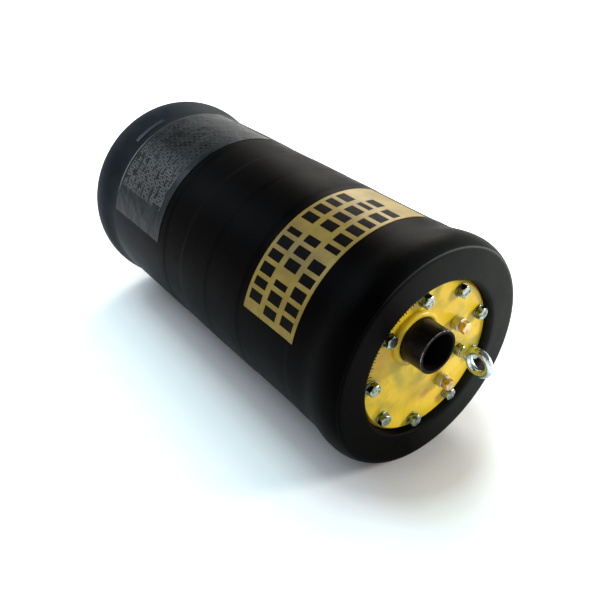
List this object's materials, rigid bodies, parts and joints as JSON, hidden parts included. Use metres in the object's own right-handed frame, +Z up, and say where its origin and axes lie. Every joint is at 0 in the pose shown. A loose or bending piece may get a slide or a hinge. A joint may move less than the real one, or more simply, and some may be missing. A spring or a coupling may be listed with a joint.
{
  "type": "inflatable pipe plug",
  "caption": "Inflatable rubber pipe plug lying on its side, with bolted steel end plates, an open bypass pipe, air ports and a lifting eye.",
  "frame": {"origin": "on the floor under the middle of the overall length, with the plug lying on the flats of its end rings", "axes": "+X along the plug and out of the end with the fittings, +Z up, +Y across"},
  "size_m": [0.5846, 0.27, 0.2675],
  "materials": {
    "rubber": "matt vulcanised rubber with fine wrapping marks",
    "yellow_plate": "semi-gloss yellow coating on steel",
    "zinc": "bright zinc plating",
    "brass": "turned brass, slightly tarnished",
    "black_steel": "black mill-finish steel pipe",
    "gold_film": "satin gold film with plain dark blocks",
    "grey_film": "glossy grey film"
  },
  "bodies": {
    "root": {"bladder": "rubber", "bypass_pipe": "black_steel", "near_end_plate": "yellow_plate", "near_clamp_ring": "black_steel", "near_pipe_collar": "yellow_plate", "near_washer_1": "zinc", "near_washer_2": "zinc", "near_washer_3": "zinc", "near_washer_4": "zinc", "near_washer_5": "zinc", "near_washer_6": "zinc", "near_washer_7": "zinc", "near_washer_8": "zinc", "near_washer_9": "zinc", "near_bolt_1": "zinc", "near_bolt_2": "zinc", "near_bolt_3": "zinc", "near_bolt_4": "zinc", "near_bolt_5": "zinc", "near_bolt_6": "zinc", "near_bolt_7": "zinc", "near_bolt_8": "zinc", "near_bolt_9": "zinc", "far_end_plate": "yellow_plate", "far_clamp_ring": "black_steel", "far_pipe_collar": "yellow_plate", "far_washer_1": "zinc", "far_washer_2": "zinc", "far_washer_3": "zinc", "far_washer_4": "zinc", "far_washer_5": "zinc", "far_washer_6": "zinc", "far_washer_7": "zinc", "far_washer_8": "zinc", "far_washer_9": "zinc", "far_bolt_1": "zinc", "far_bolt_2": "zinc", "far_bolt_3": "zinc", "far_bolt_4": "zinc", "far_bolt_5": "zinc", "far_bolt_6": "zinc", "far_bolt_7": "zinc", "far_bolt_8": "zinc", "far_bolt_9": "zinc", "air_port_boss_1": "zinc", "air_port_plug_1": "brass", "air_port_boss_2": "zinc", "air_port_plug_2": "brass", "lifting_eye": "zinc", "lifting_eye_nut": "zinc", "gold_label": "gold_film", "grey_label": "grey_film", "tag_strip": "grey_film"}
  },
  "joints": []
}
